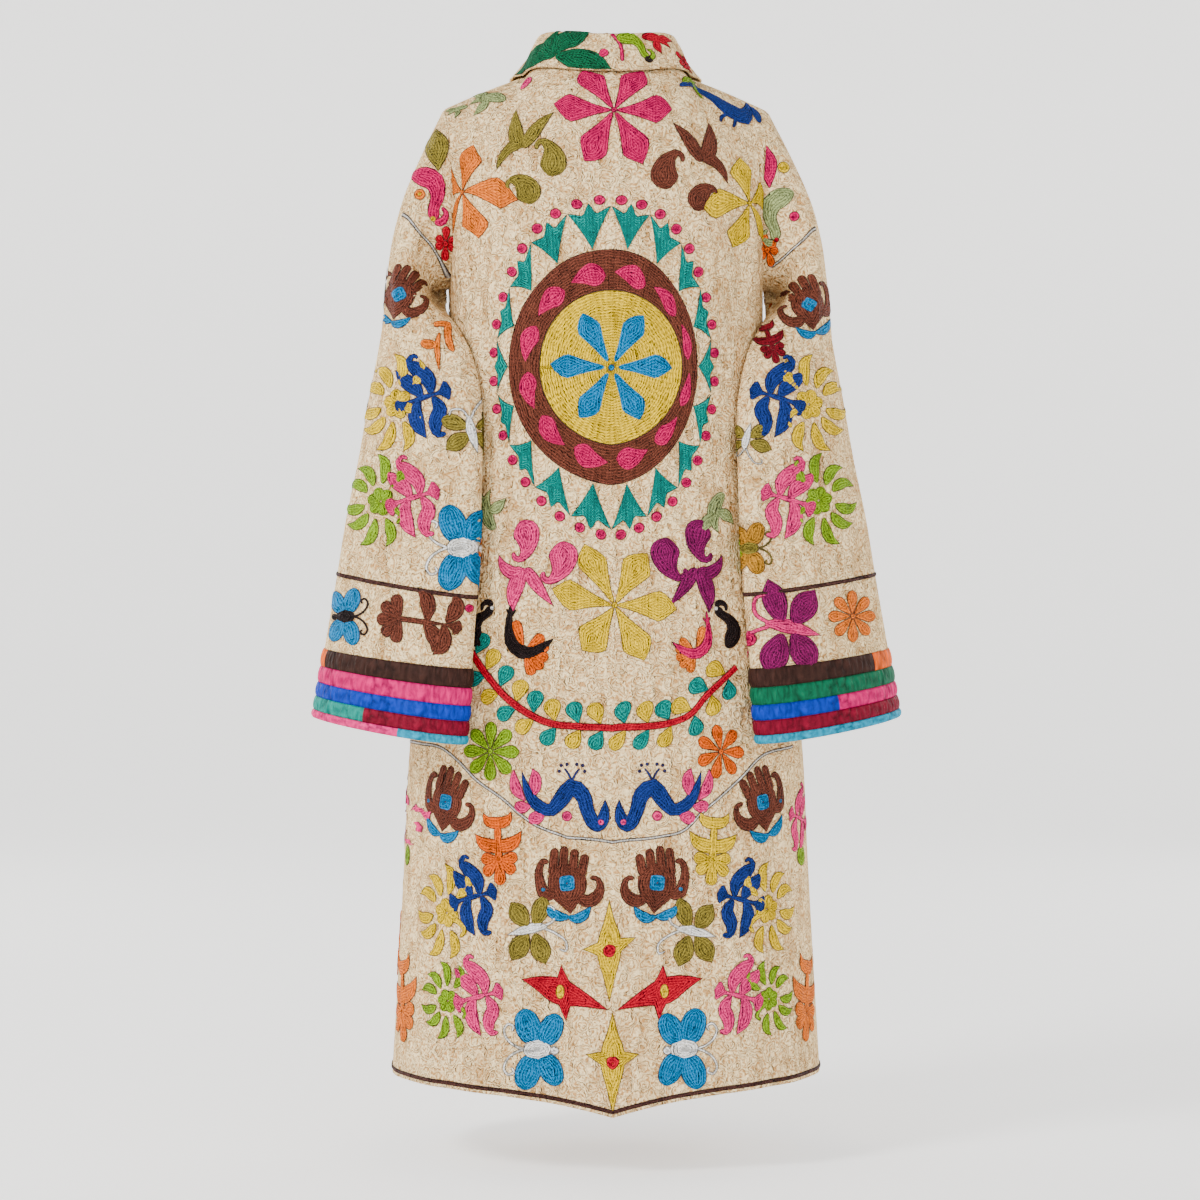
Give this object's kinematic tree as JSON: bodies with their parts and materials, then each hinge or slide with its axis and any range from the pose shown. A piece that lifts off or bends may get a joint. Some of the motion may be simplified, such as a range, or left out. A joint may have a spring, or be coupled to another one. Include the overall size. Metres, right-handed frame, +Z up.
{
  "type": "coat",
  "caption": "Long A-line coat with a turned-down collar and wide sleeves with banded cuffs, covered in chain-stitch embroidery, hanging filled out as if worn.",
  "frame": {"origin": "centre of the neck opening, at the height of the points where the shoulder seams meet the neck", "axes": "+Z up, the wearer faces -Y, the wearer's left is +X"},
  "size_m": [0.6122, 0.296, 1.1057],
  "materials": {
    "back_centre": "cotton covered in chain-stitch embroidery, matt",
    "collar": "cotton covered in chain-stitch embroidery, matt",
    "cuff_strip_1_left": "crinkled silk, soft sheen",
    "cuff_strip_1_right": "crinkled silk, soft sheen",
    "cuff_strip_2_left": "crinkled silk, soft sheen",
    "cuff_strip_2_right": "crinkled silk, soft sheen",
    "cuff_strip_3_left": "crinkled silk, soft sheen",
    "cuff_strip_3_right": "crinkled silk, soft sheen",
    "cuff_strip_4_left": "crinkled silk, soft sheen",
    "cuff_strip_4_right": "crinkled silk, soft sheen",
    "cuff_strip_5_left": "crinkled silk, soft sheen",
    "cuff_strip_5_right": "crinkled silk, soft sheen",
    "front_left": "cotton covered in chain-stitch embroidery, matt",
    "front_right": "cotton covered in chain-stitch embroidery, matt",
    "side_back_left": "cotton covered in chain-stitch embroidery, matt",
    "side_back_right": "cotton covered in chain-stitch embroidery, matt",
    "sleeve_left": "cotton covered in chain-stitch embroidery, matt",
    "sleeve_right": "cotton covered in chain-stitch embroidery, matt"
  },
  "bodies": {
    "root": {"back_centre": "back_centre", "collar": "collar", "cuff_strip_1_left": "cuff_strip_1_left", "cuff_strip_1_right": "cuff_strip_1_right", "cuff_strip_2_left": "cuff_strip_2_left", "cuff_strip_2_right": "cuff_strip_2_right", "cuff_strip_3_left": "cuff_strip_3_left", "cuff_strip_3_right": "cuff_strip_3_right", "cuff_strip_4_left": "cuff_strip_4_left", "cuff_strip_4_right": "cuff_strip_4_right", "cuff_strip_5_left": "cuff_strip_5_left", "cuff_strip_5_right": "cuff_strip_5_right", "front_left": "front_left", "front_right": "front_right", "side_back_left": "side_back_left", "side_back_right": "side_back_right", "sleeve_left": "sleeve_left", "sleeve_right": "sleeve_right"}
  },
  "joints": []
}
